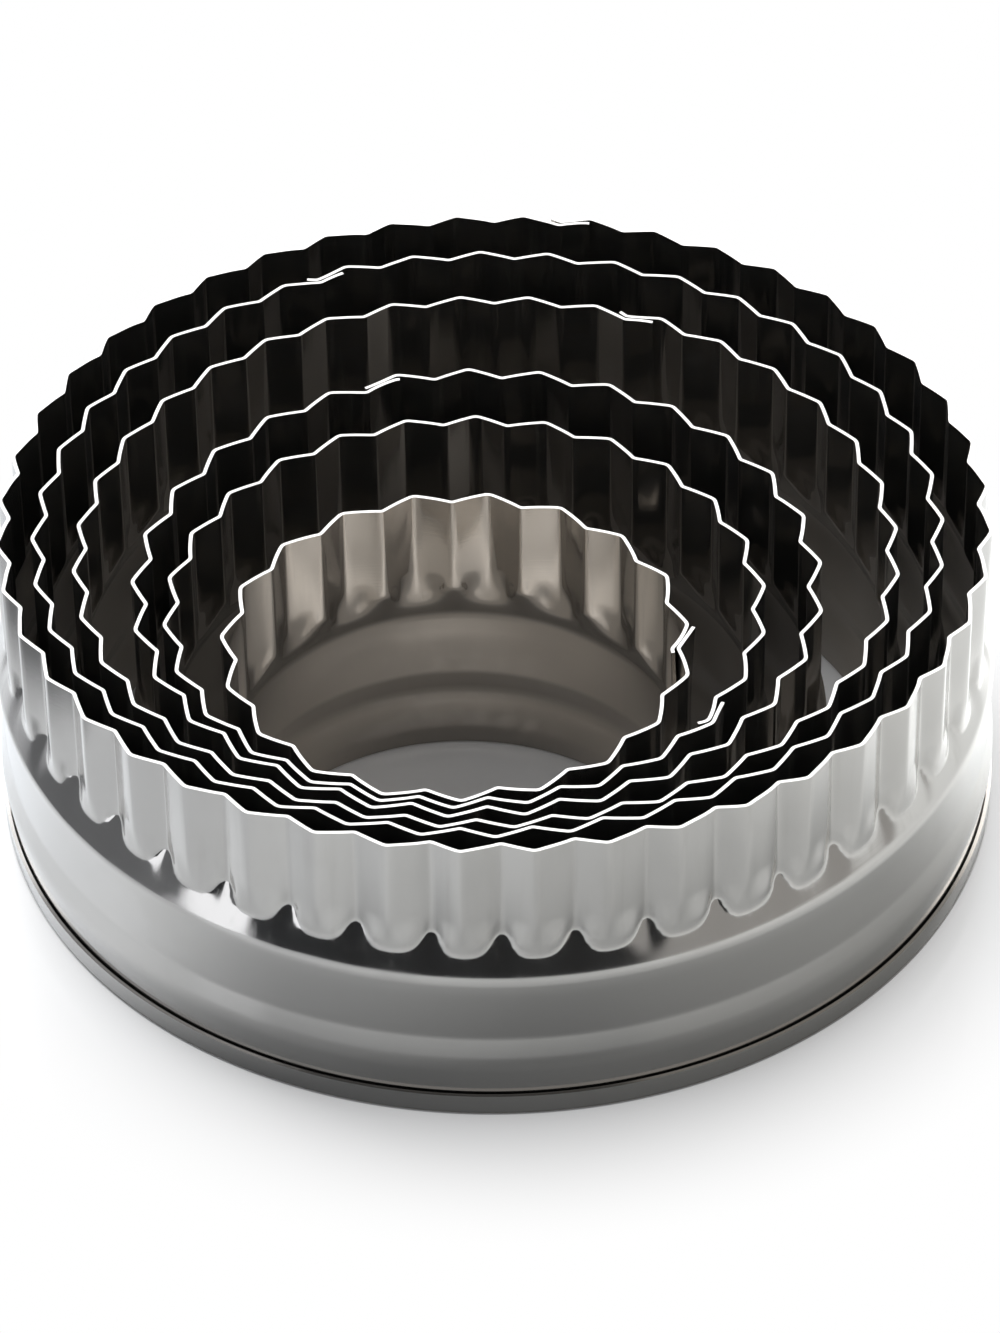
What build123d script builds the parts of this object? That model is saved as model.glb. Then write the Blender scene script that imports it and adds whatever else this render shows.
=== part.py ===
from build123d import *
import math
import os

# Nest of six round cutters, each one strip of thin stainless steel bent into a ring.
# The upper half of a strip is pressed into flutes that end in the sharp cutting edge.
# Below them the strip draws out to a shoulder, a plain skirt with a rolled bead,
# and a flat folded hem that the cutter stands on.
# Frame: origin on the floor, on the axis of the largest cutter, +Z up, millimetres.

# Sizes that all cutters share. Distances outwards are from a cutter's mean flute radius
# to the middle of the sheet, and heights are from the floor.
cutter_height = 33.3
sheet_thickness = 0.35
half_sheet = sheet_thickness / 2
cut_overrun = 5.0

# The neck behind the flutes draws out to the shoulder, and swallows their lower ends:
# a crest runs down further than a valley, which leaves a row of tongues and arches.
neck_inset = 0.62
neck_rise = 3.25
shoulder_outset = 1.3
shoulder_height = 18.5

# The skirt hangs from the shoulder down to the rolled bead.
skirt_foot = 10.8
bead_swell = 0.25
bead_height = 8.4

# Below the bead the sheet turns in a little, and its last stretch is folded up outside.
hem_inset = 0.05
bead_foot = 2.4
hem_height = 2.6

# The strip's two ends lap over each other and are spot welded.
lap_length = 3.8

# The six cutters, largest first: the radius of the flutes' mean circle, the flutes' depth
# to the middle of the sheet, and how many flutes go round.
cutter_names = [
    "largest_cutter",
    "second_cutter",
    "third_cutter",
    "fourth_cutter",
    "fifth_cutter",
    "smallest_cutter",
]
flute_radii = [48.5, 44.3, 39.9, 33.0, 28.6, 22.0]
flute_depths = [1.1, 1.1, 1.1, 1.35, 1.25, 1.35]
flute_counts = [44, 40, 36, 29, 26, 19]

# Directions about +Z from +X, in degrees, of one crest and of the lap.
crest_angles = [3.93, 0.43, 3.25, 4.15, 4.36, 5.68]
lap_angles = [79.9, 111.7, 66.8, 106.5, -35.0, -0.5]

# Every cutter but the largest stands off centre in the next larger one: the least distance
# between their mean circles, and the direction from the axis in which they are closest.
nest_gaps = [2.0, 1.25, 1.6, 1.05, 0.95]
closest_angles = [-106.2, -93.4, -100.0, -111.0, -99.3]


def on_circle(radius, degrees):
    """Point at a radius from the ring's axis, in a direction about it."""
    angle = math.radians(degrees)
    return radius * math.cos(angle), radius * math.sin(angle)


def turned(line_points, outset):
    """Solid of revolution inside a line from its top to its foot, moved out square to it."""
    top = line_points[0][1]
    foot = line_points[-1][1]
    beyond_axis = -cut_overrun
    section = make_face(Polyline((beyond_axis, top), *line_points, (beyond_axis, foot), close=True))
    moved = offset(section, amount=outset, kind=Kind.INTERSECTION)
    width = max(radius for radius, height in line_points) + cut_overrun
    kept = Pos(0, foot) * Rectangle(width, top - foot, align=(Align.MIN, Align.MIN))
    return revolve(Plane.XZ * (moved & kept), Axis.Z)


def flutes(cutter, outset, top):
    """Fluted upper half as a filled solid, its zigzag line moved out by outset."""
    radius, depth, count = flute_radii[cutter], flute_depths[cutter], flute_counts[cutter]
    fold_step = 360 / count / 2
    folds = []
    for fold in range(2 * count):
        side = depth / 2 if fold % 2 == 0 else -depth / 2
        folds.append(on_circle(radius + side, crest_angles[cutter] + fold * fold_step))
    outline = offset(make_face(Polyline(*folds, close=True)), amount=outset, kind=Kind.INTERSECTION)
    return Pos(0, 0, shoulder_height) * extrude(outline, top - shoulder_height)


def skirt(cutter, outset, foot):
    """Neck, shoulder, skirt and bead as a filled solid, its line moved out by outset."""
    radius = flute_radii[cutter]
    wall = radius + shoulder_outset
    hem = wall - hem_inset
    line = [
        (radius - neck_inset, shoulder_height + neck_rise),
        (wall, shoulder_height),
        (wall, skirt_foot),
        (wall + bead_swell, bead_height),
        (hem, bead_foot),
        (hem, foot),
    ]
    return turned(line, outset)


def filled(cutter, outset, top=cutter_height, foot=0.0):
    """Whole cutter without its hollow, bounded by the sheet's middle moved out by outset."""
    return flutes(cutter, outset, top) + skirt(cutter, outset, foot)


def with_hem(cutter, outset):
    """Filled cutter with the leaf of its hem, folded up flat against the outside."""
    hem_radius = flute_radii[cutter] + shoulder_outset - hem_inset + outset + sheet_thickness
    leaf = Cylinder(hem_radius, hem_height, align=(Align.CENTER, Align.CENTER, Align.MIN))
    return filled(cutter, outset) + leaf


def lap_wedge(cutter):
    """Slice about the axis that holds the lap of the strip's ends."""
    half_angle = math.degrees(lap_length / flute_radii[cutter]) / 2
    reach = flute_radii[cutter] + cut_overrun
    start = on_circle(reach, lap_angles[cutter] - half_angle)
    end = on_circle(reach, lap_angles[cutter] + half_angle)
    return extrude(make_face(Polyline((0, 0), start, end, close=True)), cutter_height)


def cutter_ring(cutter):
    """One cutter about its own axis, by its place in the lists above."""
    outside = with_hem(cutter, half_sheet)
    lap = with_hem(cutter, half_sheet + sheet_thickness) & lap_wedge(cutter)
    hollow = filled(cutter, -half_sheet, cutter_height + cut_overrun, -cut_overrun)
    return outside + lap - hollow


def nest_axes():
    """Place of each cutter's axis on the floor, largest first."""
    axes = [(0.0, 0.0)]
    for larger, (gap, closest_angle) in enumerate(zip(nest_gaps, closest_angles)):
        off_centre = flute_radii[larger] - flute_radii[larger + 1] - gap
        shift_x, shift_y = on_circle(off_centre, closest_angle)
        axes.append((axes[larger][0] + shift_x, axes[larger][1] + shift_y))
    return axes


os.makedirs("parts", exist_ok=True)
for cutter, (x, y) in enumerate(nest_axes()):
    shape = Pos(x, y, 0) * cutter_ring(cutter)
    export_step(shape, f"parts/{cutter_names[cutter]}.step")
    print(cutter_names[cutter], "axis at", round(x, 3), round(y, 3), "volume", round(shape.volume, 1))
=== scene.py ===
# %% [markdown]
# A nest of six fluted biscuit cutters stands on a white table, cutting edges up. Each cutter is one
# strip of thin stainless steel: pressed, rolled up, lapped, spot welded and hemmed at its foot. The
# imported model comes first, because every piece takes its place and size from it.

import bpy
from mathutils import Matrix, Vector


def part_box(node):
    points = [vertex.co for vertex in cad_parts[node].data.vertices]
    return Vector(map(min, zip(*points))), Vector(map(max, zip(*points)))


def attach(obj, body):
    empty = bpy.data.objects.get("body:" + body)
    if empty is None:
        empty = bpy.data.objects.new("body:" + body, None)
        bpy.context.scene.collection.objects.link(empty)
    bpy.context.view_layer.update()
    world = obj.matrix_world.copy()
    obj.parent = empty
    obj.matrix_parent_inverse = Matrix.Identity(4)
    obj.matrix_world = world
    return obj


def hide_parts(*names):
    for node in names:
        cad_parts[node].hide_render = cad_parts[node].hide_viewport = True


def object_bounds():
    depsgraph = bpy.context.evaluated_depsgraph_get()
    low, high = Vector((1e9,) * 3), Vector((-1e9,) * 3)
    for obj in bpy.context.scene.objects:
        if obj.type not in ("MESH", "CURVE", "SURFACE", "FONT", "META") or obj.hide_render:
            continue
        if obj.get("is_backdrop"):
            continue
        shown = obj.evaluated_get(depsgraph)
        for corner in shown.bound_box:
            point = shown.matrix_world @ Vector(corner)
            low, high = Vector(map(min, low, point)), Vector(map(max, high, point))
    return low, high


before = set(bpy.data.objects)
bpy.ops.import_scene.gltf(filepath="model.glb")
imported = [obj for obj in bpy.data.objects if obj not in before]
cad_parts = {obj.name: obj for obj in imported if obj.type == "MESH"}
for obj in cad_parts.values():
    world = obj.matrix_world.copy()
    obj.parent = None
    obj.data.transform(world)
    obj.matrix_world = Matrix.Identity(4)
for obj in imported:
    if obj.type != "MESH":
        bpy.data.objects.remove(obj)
cad_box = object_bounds()

# %% [markdown]
# All six cutters share the thickness of their sheet and their height. Sizes are in millimetres, as a
# toolmaker would give them, and are turned into metres once, when a mesh is made. Heights are from the
# table. Offsets are measured outwards to the middle of the sheet, from the circle that runs midway
# through a cutter's flutes.

# %% Sizes that the cutters share
import math
import random
import bpy
from mathutils import Matrix, Vector

mm = 0.001
sheet = 0.35
cutter_height = 33.3
print("sheet", sheet, "mm thick, cutters", cutter_height, "mm high")

# %% [markdown]
# What differs from cutter to cutter: the flutes' mean radius and depth, how many there are, and in
# which directions, in degrees, a crest and the lap lie. On the largest cutter the flutes also wander,
# by the drift as a share of a pitch, and the neck leans out on one side by the lean. The place of each
# cutter isn't written here. It is read from the frame, where a cutter's low corner is one hem radius
# away from its axis.

# %% The six cutters
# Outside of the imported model's hem, as an offset.
hem_outer = 1.775
cutters = {
    "largest_cutter": dict(radius=48.5, depth=1.1, count=44, crest=3.93, lap=79.9, drift=0.1, lean=0.3),
    "second_cutter": dict(radius=44.3, depth=1.1, count=40, crest=0.43, lap=111.7),
    "third_cutter": dict(radius=39.9, depth=1.1, count=36, crest=3.25, lap=66.8),
    "fourth_cutter": dict(radius=33.0, depth=1.35, count=29, crest=4.15, lap=106.5),
    "fifth_cutter": dict(radius=28.6, depth=1.25, count=26, crest=4.36, lap=-35.0),
    "smallest_cutter": dict(radius=22.0, depth=1.35, count=19, crest=5.68, lap=-0.5),
}


def axis_of(node):
    """Place of a cutter's axis on the table, in metres."""
    low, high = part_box(node)
    reach = (cutters[node]["radius"] + hem_outer) * mm
    return Vector((low.x + reach, low.y + reach, 0))


for node in cutters:
    print(node, "axis at", [round(v / mm, 2) for v in axis_of(node)[:2]])

# %% [markdown]
# A new piece starts from nothing selected, because an operator acts on all that is selected. These
# helpers are the hand movements that come back at every step: deselect, pick by place, and apply a
# modifier. Picking is done in object mode, where a script can set what is selected, and edit mode then
# takes that over. Places closer together than tiny, in metres, count as one.

# %% Helpers for modelling
tiny = 1e-6


def deselect_all():
    """Leaves edit mode and selects nothing."""
    if bpy.context.object and bpy.context.object.mode != "OBJECT":
        bpy.ops.object.mode_set(mode="OBJECT")
    bpy.ops.object.select_all(action="DESELECT")


def clear_picks(mesh):
    """Marks every vertex, edge and face as not selected."""
    for group in (mesh.vertices, mesh.edges, mesh.polygons):
        for item in group:
            item.select = False


def pick_vertices(piece, is_wanted):
    """In edit mode, selects the vertices whose place passes the test."""
    bpy.ops.object.mode_set(mode="OBJECT")
    clear_picks(piece.data)
    for vertex in piece.data.vertices:
        vertex.select = is_wanted(vertex.co)
    bpy.ops.object.mode_set(mode="EDIT")


def pick_edges_along(piece, offset, height):
    """In edit mode, selects the edges that run along X at one offset and height, in metres."""
    bpy.ops.object.mode_set(mode="OBJECT")
    mesh = piece.data
    clear_picks(mesh)
    for edge in mesh.edges:
        start, end = (mesh.vertices[number].co for number in edge.vertices)
        middle = (start + end) / 2
        runs_along = abs(start.x - end.x) > tiny
        edge.select = runs_along and math.hypot(middle.y - offset, middle.z - height) < tiny
    bpy.ops.object.mode_set(mode="EDIT")


def apply_modifier(piece, name):
    """Applies one modifier to the piece."""
    bpy.context.view_layer.objects.active = piece
    bpy.ops.object.modifier_apply(modifier=name)


print("places closer than", tiny / mm, "mm count as one")

# %% [markdown]
# Below the flutes the sheet draws out over a neck, which is a cone, and a shoulder with a wide roll
# leads it down into the wall. From the side that is a slanted line and an arc that meets the wall
# upright. It is written as a function of the height, because the press asks for it at many heights.

# %% Line of the neck and the shoulder
neck_height = 21.85
neck_start = -0.56
neck_slope = 0.41
shoulder_radius = 4.0
wall_offset = 1.3

shoulder_turn = math.atan(neck_slope)
cone_run = (wall_offset - neck_start - shoulder_radius * (1 - math.cos(shoulder_turn))) / neck_slope
shoulder_top = neck_height - cone_run
shoulder_foot = shoulder_top - shoulder_radius * math.sin(shoulder_turn)


def neck_offset(height):
    """Offset of the neck and the shoulder at a height."""
    if height > shoulder_top:
        return neck_start + neck_slope * (neck_height - height)
    rise = max(height - shoulder_foot, 0.0)
    return wall_offset - shoulder_radius + math.sqrt(shoulder_radius**2 - rise**2)


print("shoulder from", round(shoulder_top, 2), "down to", round(shoulder_foot, 2), "mm")

# %% [markdown]
# Under its shoulder the wall leans back a little to a waist, swells to the bead that stiffens it, and
# turns in again. Its last stretch is folded up on the outside as a hem, so that the foot isn't sharp.
# The strip starts as a pen line along this profile: a single vertex is extruded from the cutting edge
# down to the hem, round the fold and up the hem's leaf. X runs along the strip, Y is the offset
# outwards, Z the height. Where the flutes will be, the line is straight, since the press shapes it
# later.

# %% Draw the profile of the strip
# Corners of the skirt, each an offset and a height.
under_shoulder = (1.2, 14.9)
waist = (1.05, 9.7)
bead_top = (1.55, 7.1)
bead_bottom = (1.55, 6.0)
hem_inner = 1.06
hem_root = (hem_inner, 2.75)

fold_radius = 0.265
fold_steps = 5
leaf_top = 2.4

# Above press_top a flute is a plain fold, and plain_height is a row about halfway up that stretch.
plain_height = 28.0
press_top = 24.2


def profile_points():
    """Corners of the profile from the cutting edge to the leaf of the hem, in millimetres."""
    points = [(0, cutter_height), (0, plain_height), (0, press_top)]
    points.append((wall_offset, shoulder_foot))
    points += [under_shoulder, waist, bead_top, bead_bottom, hem_root]
    fold_height = sheet / 2 + fold_radius
    for step in range(fold_steps + 1):
        turn = math.pi * step / fold_steps
        across = hem_inner + fold_radius * (1 - math.cos(turn))
        points.append((across, fold_height - fold_radius * math.sin(turn)))
    points.append((hem_inner + 2 * fold_radius, leaf_top))
    return points


def draw_profile(name):
    """A chain of edges along the profile, at x = 0."""
    deselect_all()
    bpy.ops.mesh.primitive_circle_add(vertices=3, radius=mm)
    piece = bpy.context.object
    piece.name = name
    pick_vertices(piece, lambda place: abs(place.x) > tiny)
    bpy.ops.mesh.delete(type="VERT")
    bpy.ops.object.mode_set(mode="OBJECT")
    points = [Vector((0, offset * mm, height * mm)) for offset, height in profile_points()]
    piece.data.vertices[0].co = points[0]
    pick_vertices(piece, lambda place: True)
    for start, end in zip(points, points[1:]):
        bpy.ops.mesh.extrude_region_move(TRANSFORM_OT_translate={"value": end - start})
    return piece


print("the profile has", len(profile_points()), "corners")

# %% [markdown]
# One flute's pitch of sheet is then pulled out sideways from crest to crest, in steps that are short
# where a fold will bend and long where the sheet stays flat. Half a pitch of steps is written down, and
# the other half is its mirror image. The waist and the bead get their round corners here, while the
# sheet is flat and an edge bevel can follow them.

# %% Pull the profile out to one pitch of sheet
half_pitch_shares = [0.0, 0.04, 0.13, 0.2, 0.27, 0.335, 0.385, 0.43, 0.475, 0.5]
corner_rounding = [(waist, 0.35), (bead_top, 0.5), (bead_bottom, 0.5)]
rounding_steps = 3


def pitch_shares():
    """Places of the columns in one pitch, from crest to crest."""
    return half_pitch_shares + [1 - share for share in reversed(half_pitch_shares[:-1])]


def pull_out_pitch(piece, pitch):
    """Extrudes the profile along X to one pitch in metres, then rounds the corners of the skirt."""
    shares = pitch_shares()
    for start, end in zip(shares, shares[1:]):
        front = start * pitch
        step = ((end - start) * pitch, 0, 0)
        pick_vertices(piece, lambda place: place.x > front - tiny)
        bpy.ops.mesh.extrude_region_move(TRANSFORM_OT_translate={"value": step})
    for (offset, height), rounding in corner_rounding:
        pick_edges_along(piece, offset * mm, height * mm)
        bpy.ops.mesh.bevel(offset=rounding * mm, segments=rounding_steps, affect="EDGES")
    bpy.ops.object.mode_set(mode="OBJECT")


print("a pitch has", len(pitch_shares()), "columns")

# %% [markdown]
# The stretch that the press will shape needs rows as well as columns. A bisect cuts all faces at one
# height, and rows lie closest where the flutes end in round tongues, so that these look smooth.

# %% Divide the stretch under the press into rows
lobe_top = 22.8
lobe_foot = 19.3
coarse_row = 0.32
fine_row = 0.17


def press_rows():
    """Heights of the rows, from the plain flutes down to the foot of the shoulder."""
    heights = []
    for top, foot, row in (
        (press_top, lobe_top, coarse_row),
        (lobe_top, lobe_foot, fine_row),
        (lobe_foot, shoulder_foot, coarse_row),
    ):
        rows = math.ceil((top - foot) / row)
        heights += [top + (foot - top) * number / rows for number in range(rows)]
    return heights


def divide_press_rows(piece):
    """Cuts the sheet at the height of every row."""
    bpy.ops.object.mode_set(mode="EDIT")
    for height in press_rows():
        bpy.ops.mesh.select_all(action="SELECT")
        bpy.ops.mesh.bisect(plane_co=(0, 0, height * mm), plane_no=(0, 0, 1))
    bpy.ops.object.mode_set(mode="OBJECT")


print("the press shapes", len(press_rows()), "rows")

# %% [markdown]
# The pitch is repeated along the strip with an Array modifier, a little longer than the ring needs,
# and both ends are cut square where the lap begins and ends. Modelling one pitch and repeating it
# keeps every flute the same width, as the wheels of a rolling machine do.

# %% Repeat the pitch and cut the strip to length
lap_length = 3.8
extra_pitches = 2


def repeat_pitch(piece, pitch, copies):
    """Repeats the pitch, in metres, along X and merges the seams."""
    array = piece.modifiers.new("repeat", "ARRAY")
    array.count = copies
    array.use_relative_offset = False
    array.use_constant_offset = True
    array.constant_offset_displace = (pitch, 0, 0)
    array.use_merge_vertices = True
    array.merge_threshold = tiny
    apply_modifier(piece, "repeat")


def cut_square(piece, start, end):
    """Cuts the strip at both ends, in metres, and clears what lies outside."""
    bpy.ops.object.mode_set(mode="EDIT")
    for place, side in ((start, -1), (end, 1)):
        bpy.ops.mesh.select_all(action="SELECT")
        bpy.ops.mesh.bisect(plane_co=(place, 0, 0), plane_no=(side, 0, 0), clear_outer=True)
    bpy.ops.object.mode_set(mode="OBJECT")


print("every strip is cut from", extra_pitches, "pitches more than its ring has")

# %% [markdown]
# Above the neck a flute is a zigzag whose outward folds are broad and soft and whose inward ones are
# tight, as the punch leaves them. Towards its lower end it swells to a wide lobe beside a narrow
# valley with a flat floor. Every point of the sheet takes whichever stands further out, flute or neck,
# with a small blend between them. That alone makes the row of tongues and round arches. Beside a
# valley the neck stands a little further out, because the flute pulled the sheet along.

# %% Shape of the flutes and of the neck behind them
crest_fold_share = 0.05
valley_fold_share = 0.03

# From press_top down the flute turns into a lobe, which is complete at lobe_full.
lobe_full = 20.8
lobe_power = 3.6
lobe_depth_share = 0.92
valley_floor_share = 0.21
floor_power = 4

fill_slope = 0.06
fill_width = 1.3
arch_blend = 0.08
tongue_blend = 0.09


def smooth(value):
    """Eases from 0 to 1 as value does."""
    value = min(max(value, 0.0), 1.0)
    return value * value * (3 - 2 * value)


def fold_offset(away, depth):
    """Offset of the zigzag with rounded folds, at a share of the pitch away from a crest."""
    slope = depth / (0.5 - crest_fold_share / 2 - valley_fold_share / 2)
    if away < crest_fold_share:
        return depth / 2 - slope * away**2 / (2 * crest_fold_share)
    if away > 0.5 - valley_fold_share:
        return -depth / 2 + slope * (0.5 - away) ** 2 / (2 * valley_fold_share)
    return depth / 2 - slope * (away - crest_fold_share / 2)


def past_floor(from_valley):
    """How far a place is past the valley's flat floor, with a soft start; from_valley is 1 at a crest."""
    together = from_valley**floor_power + valley_floor_share**floor_power
    return together ** (1 / floor_power) - valley_floor_share


def lobe_offset(away, depth):
    """Offset of a flute's lower end, which is a wide lobe between narrow valleys."""
    share = past_floor(1 - 2 * away) / past_floor(1)
    return depth * (lobe_depth_share * (1 - (1 - share) ** lobe_power) - 0.5)


def neck_fill(away, pitch, height):
    """How much further out the neck stands beside a valley."""
    from_valley = (0.5 - away) * pitch / fill_width
    return fill_slope * max(height - shoulder_top, 0.0) * (1 - math.exp(-from_valley * from_valley))


def pressed_offset(away, depth, pitch, height, lean):
    """Offset of the sheet where a flute runs out into the neck."""
    lobe_part = smooth((press_top - height) / (press_top - lobe_full))
    flute = fold_offset(away, depth) * (1 - lobe_part) + lobe_offset(away, depth) * lobe_part
    outward = max(flute + depth / 2, 0.0) / depth
    neck = neck_offset(height) + neck_fill(away, pitch, height)
    neck += lean * smooth((height - shoulder_foot) / (shoulder_top - shoulder_foot))
    blend = arch_blend + (tongue_blend - arch_blend) * outward
    lift = (math.sqrt((flute - neck) ** 2 + blend**2) - abs(flute - neck)) / 2
    return max(flute, neck) + lift * smooth((height - shoulder_foot) / (lobe_foot - shoulder_foot))


for node, cutter in cutters.items():
    crest, valley = fold_offset(0, cutter["depth"]), fold_offset(0.5, cutter["depth"])
    print(node, "flutes from", round(valley, 3), "to", round(crest, 3), "mm")

# %% [markdown]
# Pressing and rolling are done vertex by vertex, like a die that pushes each point of the sheet to its
# place and a roller that bends the strip round the axis. No two flutes of a real cutter are quite
# alike, so each wanders by a small random share of its pitch, and the largest cutter's drift and lean
# are strongest towards the two sides named here. Near the lap one end steps out and the other in by
# half a sheet, so that they lie on each other. The spot weld is further down, so at the cutting edge
# each end springs off the other a little.

# %% Press the flutes and roll the strip up
flute_wobble = 0.03
drift_side = math.radians(-45)
lean_side = math.radians(-160)
lap_gap = 0.02
lap_ramp = 7.0
end_spring = 0.35
spring_length = 3.2


def lap_step(along, length, height):
    """How far a point near either end of the strip steps out or in."""
    half = (sheet + lap_gap) / 2
    near_start = 1 - smooth((along - lap_length) / lap_ramp)
    near_end = 1 - smooth((length - lap_length - along) / lap_ramp)
    spring = end_spring * smooth((height - press_top) / (cutter_height - press_top))
    out = spring * max(1 - along / spring_length, 0) ** 2
    inwards = spring * max(1 - (length - along) / spring_length, 0) ** 2
    return half * (near_start - near_end) + out - inwards


def press_and_roll(piece, cutter, axis, first_crest, start, length):
    """Moves every point of the flat strip to its place in the finished ring."""
    wobble = random.Random(cutter["count"])
    flutes_drawn = cutter["count"] + extra_pitches + 1
    shifts = [wobble.uniform(-flute_wobble, flute_wobble) for _ in range(flutes_drawn)]
    pitch = 2 * math.pi * cutter["radius"] / cutter["count"]
    for vertex in piece.data.vertices:
        along, offset, height = vertex.co / mm
        turn = first_crest - along / cutter["radius"]
        if height > shoulder_foot + tiny / mm:
            flute = along / pitch
            drift = shifts[int(flute)] + cutter.get("drift", 0) * math.cos(turn - drift_side)
            share = flute + drift * math.sin(math.pi * (flute % 1)) ** 2
            lean = cutter.get("lean", 0) * max(math.cos(turn - lean_side), 0) ** 2
            away = abs((share + 0.5) % 1 - 0.5)
            offset = pressed_offset(away, cutter["depth"], pitch, min(height, press_top), lean)
        reach = cutter["radius"] + offset + lap_step(along - start, length, height)
        vertex.co = axis + Vector((math.cos(turn) * reach, math.sin(turn) * reach, height)) * mm


print("at the cutting edge an end springs off by", end_spring, "mm")

# %% [markdown]
# With the ring rolled up, a Solidify modifier gives the sheet its thickness on both sides of the
# middle, and fills the cut edges. Edges sharper than the crisp angle stay sharp to the eye, the others
# are shaded smooth.

# %% Thicken the sheet
crisp_angle = math.radians(35)


def thicken_sheet(piece):
    """Gives the rolled strip its thickness, outward normals and smooth shading."""
    thicken = piece.modifiers.new("sheet", "SOLIDIFY")
    thicken.thickness = sheet * mm
    thicken.offset = 0
    thicken.use_even_offset = True
    apply_modifier(piece, "sheet")
    bpy.ops.object.mode_set(mode="EDIT")
    bpy.ops.mesh.select_all(action="SELECT")
    bpy.ops.mesh.normals_make_consistent(inside=False)
    bpy.ops.object.mode_set(mode="OBJECT")
    bpy.ops.object.shade_smooth_by_angle(angle=crisp_angle)


print("edges stay crisp above", round(math.degrees(crisp_angle)), "degrees")

# %% [markdown]
# All the steps in order make one cutter. The strip is laid out so that a crest of the flat strip
# becomes the crest in the cutter's own direction, and its start becomes the outer end of the lap. Six
# runs of the same steps make the nest, each with a mesh of its own.

# %% Build the six cutters


def build_cutter(node):
    """The whole strip of one cutter: drawn, repeated, cut, pressed, rolled and thickened."""
    cutter = cutters[node]
    radius, count = cutter["radius"], cutter["count"]
    pitch = 2 * math.pi * radius / count
    piece = draw_profile(node + "_strip")
    pull_out_pitch(piece, pitch * mm)
    divide_press_rows(piece)
    repeat_pitch(piece, pitch * mm, count + extra_pitches)
    outer_end = math.radians(cutter["lap"]) + lap_length / radius / 2
    crest = math.radians(cutter["crest"])
    crests_past = math.ceil((outer_end - crest) / (pitch / radius))
    first_crest = crest + crests_past * pitch / radius
    start = (first_crest - outer_end) * radius
    length = 2 * math.pi * radius + lap_length
    cut_square(piece, start * mm, (start + length) * mm)
    press_and_roll(piece, cutter, axis_of(node), first_crest, start, length)
    thicken_sheet(piece)
    return piece


strips = {}
for node in cutters:
    strips[node] = build_cutter(node)
    print(node, len(strips[node].data.polygons), "faces")

# %% [markdown]
# Shader maths reads best as plain expressions. This small class wraps a socket and gives it the usual
# operators, so that 1 - mask adds a Math node, and one method adds any other node. Fades are so common
# in masks that they get methods of their own.

# %% A socket that can be calculated with


def input_of(node, name):
    """Input of a node by its number, as in i0, or by its name with _ for a space."""
    if name[0] == "i" and name[1:].isdigit():
        return node.inputs[int(name[1:])]
    return node.inputs[name.replace("_", " ")]


class Wire:
    """A socket of a node tree, with the operators of arithmetic."""

    def __init__(self, tree, socket):
        self.tree = tree
        self.socket = socket

    def node(self, kind, settings=None, **inputs):
        """Adds a node, sets its settings first and then its inputs, and wraps its first output."""
        made = self.tree.nodes.new(kind)
        for name, value in (settings or {}).items():
            setattr(made, name, value)
        for name, value in inputs.items():
            if isinstance(value, Wire):
                self.tree.links.new(value.socket, input_of(made, name))
            else:
                input_of(made, name).default_value = value
        return Wire(self.tree, made.outputs[0])

    def output(self, name):
        """Another output of the node that this socket belongs to."""
        outputs = [plug for plug in self.socket.node.outputs if plug.name == name and plug.enabled]
        return Wire(self.tree, outputs[0])

    def math(self, operation, *values):
        """Adds a Math node on this socket and the values."""
        inputs = {f"i{number}": value for number, value in enumerate((self, *values))}
        return self.node("ShaderNodeMath", {"operation": operation}, **inputs)

    def __add__(self, other):
        return self.math("ADD", other)

    def __sub__(self, other):
        return self.math("SUBTRACT", other)

    def __rsub__(self, other):
        return (self * -1) + other

    def __mul__(self, other):
        return self.math("MULTIPLY", other)

    def __truediv__(self, other):
        return self.math("DIVIDE", other)

    __radd__ = __add__
    __rmul__ = __mul__

    def above(self, low, high):
        """0 below low, 1 above high, and eased between them."""
        settings = {"interpolation_type": "SMOOTHSTEP"}
        return self.node("ShaderNodeMapRange", settings, Value=self, From_Min=low, From_Max=high)

    def between(self, rise, fall):
        """1 between two fades, each given as its low and high end, and 0 outside them."""
        return self.above(*rise) * (1 - self.above(*fall))

    def clamp(self):
        """The value kept between 0 and 1."""
        return self.node("ShaderNodeClamp", None, i0=self)

    def mix(self, first, second):
        """Mixes two colours by this value."""
        settings = {"data_type": "RGBA"}
        made = self.node("ShaderNodeMix", settings, i0=self, i6=first, i7=second)
        return made.output("Result")

    def scaled(self, factor):
        """This colour or vector multiplied by a value."""
        return self.node("ShaderNodeVectorMath", {"operation": "SCALE"}, i0=self, Scale=factor)

    def length(self):
        """The length of this vector."""
        return self.node("ShaderNodeVectorMath", {"operation": "LENGTH"}, i0=self).output("Value")

    def parts(self):
        """This vector's three parts, as the outputs X, Y and Z."""
        return self.node("ShaderNodeSeparateXYZ", None, i0=self)

    def mapped(self, **inputs):
        """This vector moved or scaled by a Mapping node."""
        return self.node("ShaderNodeMapping", None, Vector=self, **inputs)

    def noise(self, scale, detail, roughness):
        """Cloudy noise over the places that this vector carries."""
        inputs = {"Scale": scale, "Detail": detail, "Roughness": roughness}
        return self.node("ShaderNodeTexNoise", None, Vector=self, **inputs)

    def feed(self, plug):
        """Links this socket to a shader's input."""
        self.tree.links.new(self.socket, plug)


def new_material(name):
    """A material, its node tree, its Principled shader, and a wire that carries places."""
    material = bpy.data.materials.new(name)
    material.use_nodes = True
    tree = material.node_tree
    shader = tree.nodes["Principled BSDF"]
    place = Wire(tree, None).node("ShaderNodeTexCoord").output("Object")
    return material, tree, shader, place


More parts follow.
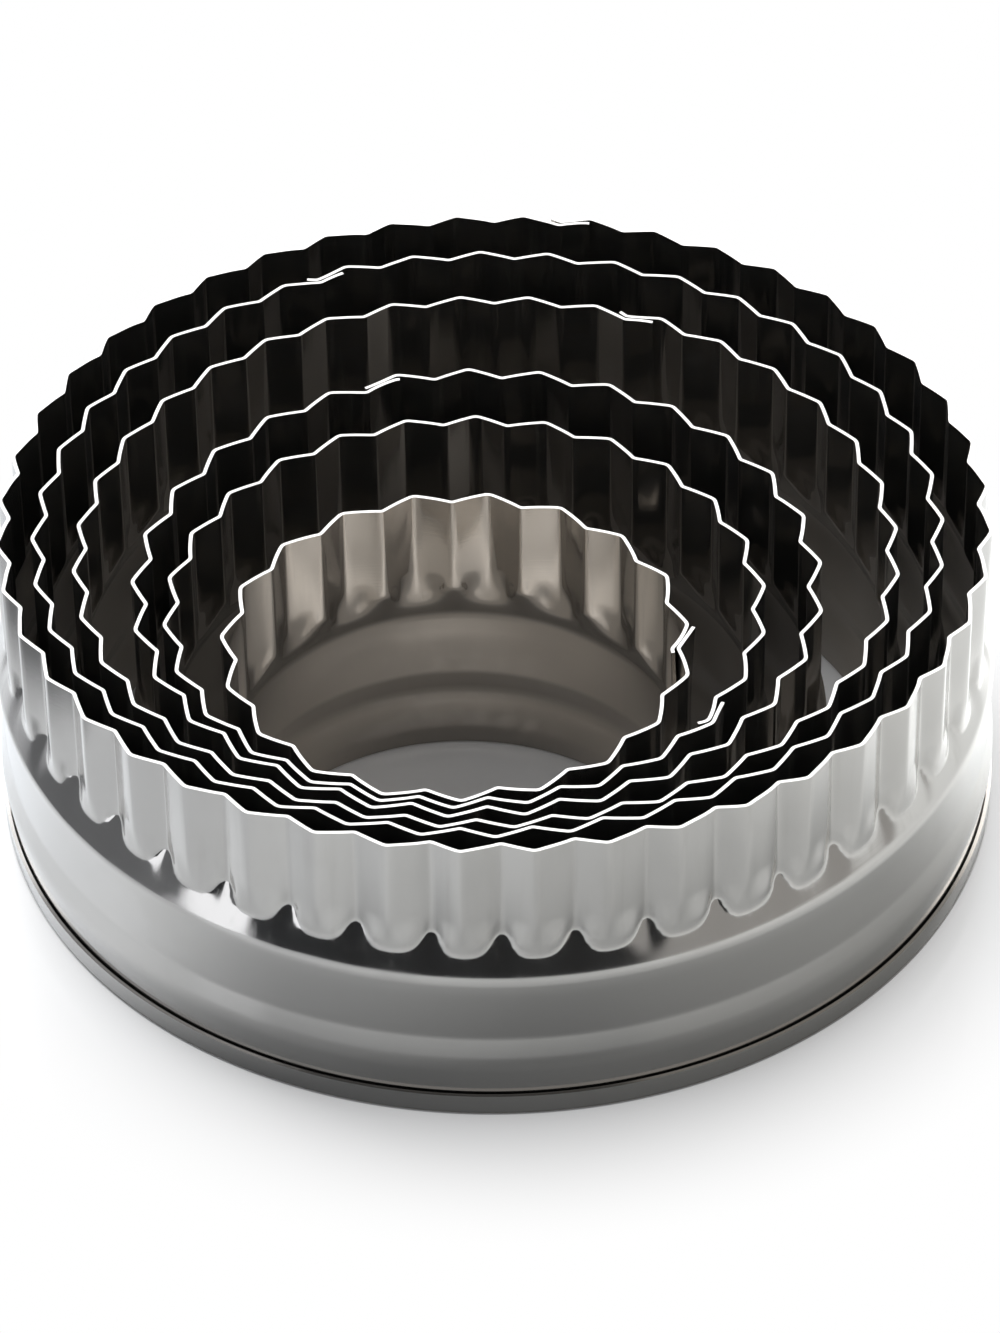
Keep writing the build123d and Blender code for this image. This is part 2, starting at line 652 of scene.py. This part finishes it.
# %% [markdown]
# The cutters are bright drawn steel, in a slightly warm grey. What makes it look real is how it
# mirrors: nearly sharp on the pressed flutes, and a little smeared round the skirt, where the rolls
# left fine lines. Those lines follow the ring, so their noise is squeezed in height. On the flutes the
# punch dragged upright streaks. A thin rough coat adds the haze of fine scratches, without which the
# steel would mirror the dark side of the room as pure black. The cut edge is bare and rougher, and
# along its top its colour is made paler as a painted highlight.

# %% Steel for the strips
steel_colour = (0.575, 0.55, 0.52, 1)
dull_colour = (0.4, 0.37, 0.33, 1)
# The top of the cut edge is bare, rougher steel, painted paler as a painted highlight.
edge_highlight_colour = (0.7, 0.68, 0.65, 1)
ring_line_scale = (60, 60, 9000)
streak_scale = (900, 900, 45)
cloud_scale = 90.0
line_strength = 0.04
line_depth = 0.05 * mm

flute_foot = (17.0 * mm, 19.0 * mm)
bare_edge = (33.25 * mm, 33.29 * mm)
flute_roughness = 0.07
extra_on_skirt = 0.08
extra_in_smears = 0.1
extra_in_streaks = 0.12
extra_on_edge = 0.25
smear_fade = (0.5, 0.72)
streak_fade = (0.5, 0.75)
coat = {"Coat Weight": 0.5, "Coat Roughness": 0.45, "Coat IOR": 1.8}


def steel_material(name, axis):
    """Drawn stainless steel round one cutter's axis."""
    material, tree, shader, place = new_material(name)
    centred = place.mapped(Location=(-axis.x, -axis.y, 0))
    height = centred.parts().output("Z")
    lines = centred.mapped(Scale=ring_line_scale).noise(scale=1.0, detail=3.0, roughness=0.6)
    streaks = centred.mapped(Scale=streak_scale).noise(scale=1.0, detail=4.0, roughness=0.6)
    clouds = centred.noise(scale=cloud_scale, detail=4.0, roughness=0.55)
    on_skirt = 1 - height.above(*flute_foot)
    on_edge = height.above(*bare_edge)
    smears = clouds.above(*smear_fade) * extra_in_smears
    dragged = streaks.above(*streak_fade) * (1 - on_skirt) * extra_in_streaks
    roughness = flute_roughness + on_skirt * extra_on_skirt + smears + dragged + on_edge * extra_on_edge
    roughness.feed(shader.inputs["Roughness"])
    bump = centred.node("ShaderNodeBump", None, Strength=line_strength, Distance=line_depth, Height=lines)
    bump.feed(shader.inputs["Normal"])
    dulled = (smears + dragged).mix(steel_colour, dull_colour)
    # Painted highlight: the top of the cut edge gets a paler colour than the steel round it.
    on_edge.mix(dulled, edge_highlight_colour).feed(shader.inputs["Base Color"])
    shader.inputs["Metallic"].default_value = 1.0
    for plug, value in coat.items():
        shader.inputs[plug].default_value = value
    return material


for node, piece in strips.items():
    piece.data.materials.clear()
    piece.data.materials.append(steel_material(node + "_steel", axis_of(node)))
    print(piece.name, "is", piece.data.materials[0].name)

# %% [markdown]
# Each strip rides on its own cutter's body and stands for that cutter's solid, so lifting a cutter
# lifts its strip.

# %% Attach the strips
for node, piece in strips.items():
    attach(piece, node)
    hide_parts(node)
print(len(strips), "strips attached")

# %% [markdown]
# The table is one wide plane. The upright walls of the cutters mirror it, so it has two looks. To the
# camera it is white. To the steel its colour carries painted light and shade: darker on the left and
# brighter on the right, a painted shadow in front of the nest and a darker one at the hem there, a
# little painted light close round the rest of the hem, and painted shade far out on the right. Each
# part of that is a fade with a name, so that it can be changed by itself.

# %% Table as the outside of the nest mirrors it
table_width = 6
table_roughness = 0.12
side_fade = (-70 * mm, 70 * mm)
# Painted shade on the left and painted light on the right, in the table's colour for the steel.
left_painted_shade = (0.64, 0.665, 0.69, 1)
right_painted_light = (1.36, 1.4, 1.4, 1)
front_side = (0.26, -0.966)
front_fade = (0.25, 0.75)
near_hem_fade = (9 * mm, 26 * mm)
at_hem_fade = (0, 5 * mm)
far_fade = (18 * mm, 30 * mm)
far_side_fade = (-30 * mm, 10 * mm)
# Strengths of the painted shadow and light round the hem and of the painted shade far out.
painted_shadow_in_front = 0.75
painted_light_near_hem = 0.35
painted_contact_shadow = 0.1
painted_shade_far_out = 0.27

deselect_all()
bpy.ops.mesh.primitive_plane_add(size=table_width)
table = bpy.context.object
table.name = "table"
material, tree, shader, place = new_material("white_table")
shader.inputs["Roughness"].default_value = table_roughness
spot = place.parts()
reach = place.length()
outer = (cutters["largest_cutter"]["radius"] + hem_outer) * mm
past_hem = reach - outer

# Painted light and shade: the steel sees the table darker on the left, brighter on the right.
sides = spot.output("X").above(*side_fade).mix(left_painted_shade, right_painted_light)
towards_front = (spot.output("X") * front_side[0] + spot.output("Y") * front_side[1]) / reach
in_front = towards_front.above(*front_fade)
near_hem = 1 - past_hem.above(*near_hem_fade)
at_hem = 1 - past_hem.above(*at_hem_fade)
far_out = past_hem.above(*far_fade) * spot.output("X").above(*far_side_fade)
# Painted shadow in front and at the hem, painted light round the rest, painted shade far out right.
painted_shade = near_hem * (in_front * painted_shadow_in_front - painted_light_near_hem)
painted_shade = painted_shade + at_hem * in_front * painted_contact_shadow + far_out * painted_shade_far_out
shaded = sides.scaled(1 - painted_shade)
print("the hem is", round(outer / mm, 2), "mm from the middle of the table")

# %% [markdown]
# Inside the hem circle the table's colour, as the steel sees it, is painted shade at a dim level, so
# that the walls of the narrow gaps stay black. A round, warm pool of painted light under the smallest
# cutter stands for light that falls through it onto the table. That cutter's inner wall mirrors the
# painted light, which is why it glows. Across it the painted light is told by how far a place is off
# the back wall: it starts there, is brightest about the middle, and fades to the front.

# %% Table as the inside of the nest mirrors it
middle = axis_of("smallest_cutter")
opening = 23 * mm
opening_fade = (23 * mm, 24 * mm)
back_fade = (1 * mm, 12 * mm)
middle_fade = (18 * mm, 23 * mm)
front_wall_fade = (29 * mm, 36 * mm)
# Strengths of the painted pool of light, the painted shade level and the painted light's warm tint.
lit_at_back = 0.75
more_past_middle = 0.45
less_at_front = 0.6
painted_shade_level = 0.45
painted_light_green = 0.94
painted_light_blue = 0.86

# Painted light: a round, warm pool in the table's colour under the smallest cutter, on painted shade.
from_middle = place.mapped(Location=(-middle.x, -middle.y, 0)).length()
off_back = spot.output("Y") * -1 + middle.y + opening
past_middle = off_back.above(*middle_fade) * more_past_middle + lit_at_back
near_front = 1 - off_back.above(*front_wall_fade) * less_at_front
painted_lit_part = off_back.above(*back_fade) * past_middle * near_front
painted_light_inside = (1 - from_middle.above(*opening_fade)) * painted_lit_part + painted_shade_level
warm = {"i0": painted_light_inside, "i1": painted_light_inside * painted_light_green, "i2": painted_light_inside * painted_light_blue}
inside = place.node("ShaderNodeCombineColor", None, **warm)
# Inside the hem circle the steel sees the painted pool and shade, outside it the painted tint above.
painted_light_and_shade = reach.math("LESS_THAN", outer).mix(shaded, inside)
print("the lit part is", round(opening_fade[0] / mm), "mm round the smallest cutter's axis")

# %% [markdown]
# The two looks are joined by the kind of ray that asks. For the camera the table keeps the nest's soft
# shadow close by, and fades to plain white a little way out, as a table that runs into a white
# backdrop does. For the steel it carries the painted light and shade above, and ends at an edge,
# past which the room shows.

# %% Table surface
plain_tint = (0.7, 0.7, 0.7, 1)
table_fade = 18 * mm
white_at_hem = 0.32
fade_power = 1.7
round_edge = (105 * mm, 145 * mm)
left_edge = (71 * mm, 84 * mm)

rays = place.node("ShaderNodeLightPath")
to_camera = rays.output("Is Camera Ray")
to_steel = rays.output("Is Glossy Ray")
# Steel rays see the table's painted light and shade, other rays its plain tint.
lit_tint = to_steel.mix(plain_tint, painted_light_and_shade)
to_camera.mix(lit_tint, (1, 1, 1, 1)).feed(shader.inputs["Base Color"])

near = (1 - past_hem / table_fade).clamp()
white_part = 1 - near.math("POWER", fade_power) * (1 - white_at_hem)
outside = reach.math("GREATER_THAN", outer)
plain = place.node("ShaderNodeEmission", None, Strength=1.0)
white_to_camera = white_part * outside * to_camera
lit_table = Wire(tree, shader.outputs[0])
mixed = place.node("ShaderNodeMixShader", None, i0=white_to_camera, i1=lit_table, i2=plain)

off_left = (spot.output("X") * -1).above(*left_edge)
beyond = reach.above(*round_edge).math("MAXIMUM", off_left) * to_steel
clear = place.node("ShaderNodeBsdfTransparent")
whole = place.node("ShaderNodeMixShader", None, i0=beyond, i1=mixed, i2=clear)
whole.feed(tree.nodes["Material Output"].inputs["Surface"])
table.data.materials.append(material)
table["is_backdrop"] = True
print(table.name, "has", len(tree.nodes), "nodes")

# %% [markdown]
# Steel shows the room more than itself, so the light is drawn as a room. Directions round it are
# degrees to the left of the camera, and heights are 0 at the horizon and 1 straight up. The wall behind
# the camera is dark, and the sloping necks mirror it as black bands. To its left a bright window gives
# the neck its white patch. A softbox hangs high at the back, under a dim ceiling. The camera itself
# sees plain white.

# %% Light of the room
room_level = 0.5
window_start = (50, 53)
window_end = (66, 69)
camera_right = (-34, -26)

# Where each part starts and ends, the height at which it fades out, and what it adds.
room_parts = {
    "dark wall behind the camera": (camera_right, window_start, (0.55, 0.8), -0.48),
    "window": (window_start, window_end, (0.45, 0.6), 1.1),
    "left wall": (window_end, (112, 125), (0.2, 0.35), -0.33),
    "right wall": ((-140, -120), camera_right, (0.55, 0.8), -0.1),
}
softbox_sides = (125, 145)
softbox_foot = (0.3, 0.45)
softbox_top = (0.85, 0.95)
softbox_light = 2.0
ceiling_fade = (0.82, 0.93)
ceiling_dark = 0.6
cool_tint = (0.94, 0.98, 1.05, 1)
warm_tint = (1.01, 1.0, 0.98, 1)

world = bpy.data.worlds.new("studio")
bpy.context.scene.world = world
world.use_nodes = True
tree = world.node_tree
background = tree.nodes["Background"]
direction = Wire(tree, None).node("ShaderNodeTexCoord").output("Generated")
parts = direction.parts()
height = parts.output("Z")
to_right = parts.output("X").math("ARCTAN2", parts.output("Y") * -1) * math.degrees(1)
to_left = to_right * -1

level = room_level
for start, end, fade_out, light in room_parts.values():
    level = to_left.between(start, end) * (1 - height.above(*fade_out)) * light + level
behind = to_right.math("ABSOLUTE").above(*softbox_sides)
level = level + behind * height.between(softbox_foot, softbox_top) * softbox_light
level = level * (1 - height.above(*ceiling_fade) * ceiling_dark)
level.feed(background.inputs["Strength"])
parts.output("X").above(-1, 1).mix(cool_tint, warm_tint).feed(background.inputs["Color"])

white = direction.node("ShaderNodeBackground", None, Color=(1, 1, 1, 1))
camera_ray = direction.node("ShaderNodeLightPath").output("Is Camera Ray")
room = Wire(tree, background.outputs[0])
seen = direction.node("ShaderNodeMixShader", None, i0=camera_ray, i1=room, i2=white)
seen.feed(tree.nodes["World Output"].inputs[0])
print("the room has", len(room_parts), "walls and windows, and a softbox")

# %% [markdown]
# One lamp stands high behind the nest on the left. It gives the shadow its soft side on the right
# front. The steel doesn't mirror it, since the room's own softbox is already there to be mirrored.

# %% Softbox lamp
lamp_width = 0.5
lamp_height = 0.4
lamp_energy = 4.6
lamp_place = Vector((-0.32, 0.42, 0.5))

lamp_data = bpy.data.lights.new("rear_softbox", "AREA")
lamp_data.shape = "RECTANGLE"
lamp_data.size = lamp_width
lamp_data.size_y = lamp_height
lamp_data.energy = lamp_energy
lamp = bpy.data.objects.new("rear_softbox", lamp_data)
lamp.visible_glossy = False
lamp.location = lamp_place
lamp.rotation_euler = lamp_place.to_track_quat("Z", "Y").to_euler()
bpy.context.scene.collection.objects.link(lamp)
print("lamp", round(lamp_place.length, 2), "m from the nest")

# %% [markdown]
# The camera stands in front and looks down at about 41 degrees from 0.66 m, through a long lens, so
# that the nest fills the frame. Its three axes are worked out from where it looks and from a slight
# roll, and put together as one matrix, which needs no guess at an order of turns.

# %% Camera
camera_place = Vector((0, -0.49424, 0.44352))
look_down = math.radians(41.027)
look_aside = math.radians(0.047)
camera_roll = math.radians(-0.888)
lens = 175.54
nearest_seen = 0.01

forward = Vector((
    math.sin(look_aside) * math.cos(look_down),
    math.cos(look_aside) * math.cos(look_down),
    -math.sin(look_down),
))
level_right = Vector((math.cos(look_aside), -math.sin(look_aside), 0))
level_up = level_right.cross(forward)
right = level_right * math.cos(camera_roll) + level_up * math.sin(camera_roll)
up = level_up * math.cos(camera_roll) - level_right * math.sin(camera_roll)
turned = Matrix((right, up, -forward)).transposed().to_4x4()
camera_data = bpy.data.cameras.new("camera")
camera_data.lens = lens
camera_data.clip_start = nearest_seen
camera = bpy.data.objects.new("camera", camera_data)
camera.matrix_world = Matrix.Translation(camera_place) @ turned
bpy.context.scene.collection.objects.link(camera)
bpy.context.scene.camera = camera
bpy.context.scene.view_settings.view_transform = "Standard"
print("camera", round(camera_place.length, 3), "m from the nest, lens", lens, "mm")

# %% Print the boxes of the imported model and of the dressed scene
boxes = {"cad": [list(corner) for corner in cad_box], "dressed": [list(corner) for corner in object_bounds()]}
for name, box in boxes.items():
    print(name, "box in mm:", [[round(v / mm, 3) for v in corner] for corner in box])
